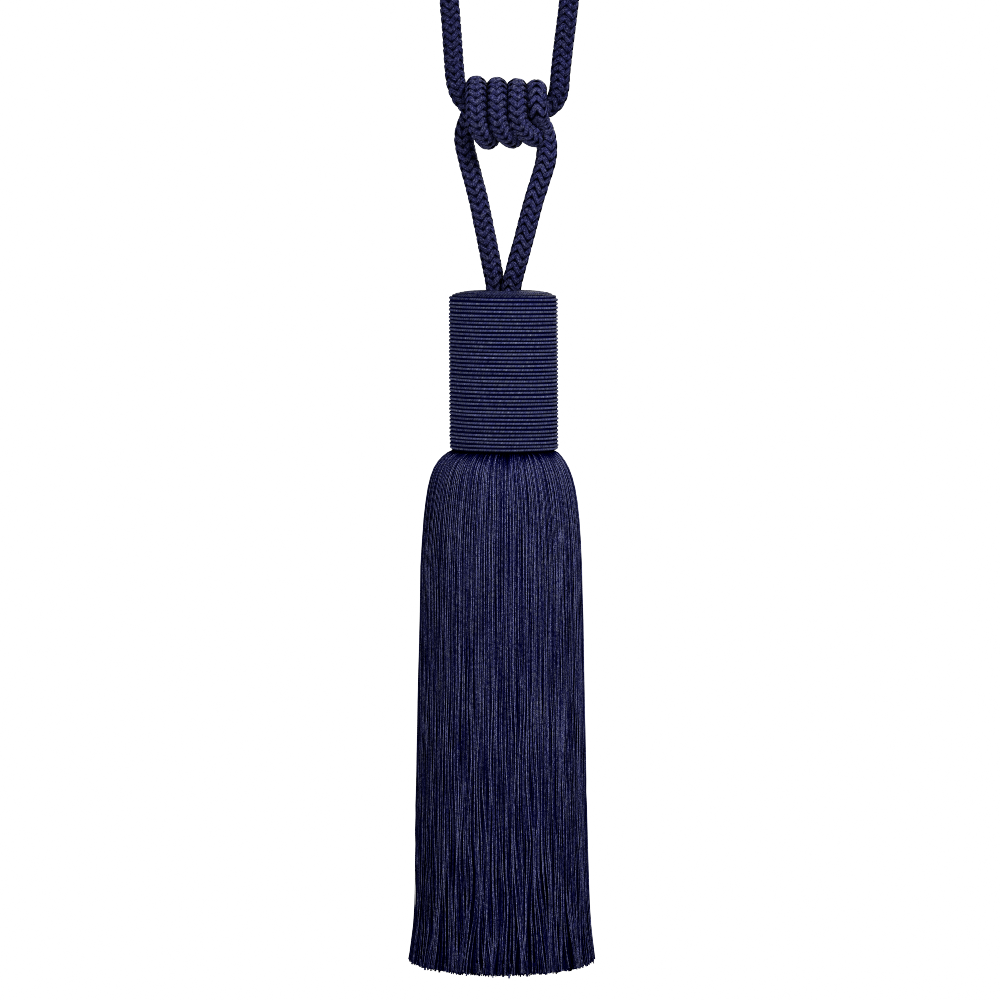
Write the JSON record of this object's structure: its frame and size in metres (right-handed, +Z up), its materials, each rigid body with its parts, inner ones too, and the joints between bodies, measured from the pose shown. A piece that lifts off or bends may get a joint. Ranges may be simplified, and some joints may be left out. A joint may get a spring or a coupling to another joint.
{
  "type": "hanging tassel",
  "caption": "Tassel that hangs from a braided rope loop, with a coil knot, a head wound in fine cord and a long cut-yarn skirt.",
  "frame": {"origin": "the point under the top of the rope loop where a hook or a curtain's tie carries the tassel", "axes": "+Z up along the hanging tassel, -Y towards the front, +X to the right as seen from the front"},
  "size_m": [0.0848, 0.0848, 0.4932],
  "materials": {
    "rope": "braided navy yarn, matt with a soft sheen",
    "wound_cord": "fine twisted navy cord, close wound, soft sheen",
    "cut_yarn": "fine twisted navy yarn, cut ends, soft sheen"
  },
  "bodies": {
    "root": {"hanging_loop": "rope", "cord_knot": "rope", "cord_leg_left": "rope", "cord_leg_right": "rope", "head": "wound_cord", "skirt": "cut_yarn"}
  },
  "joints": []
}
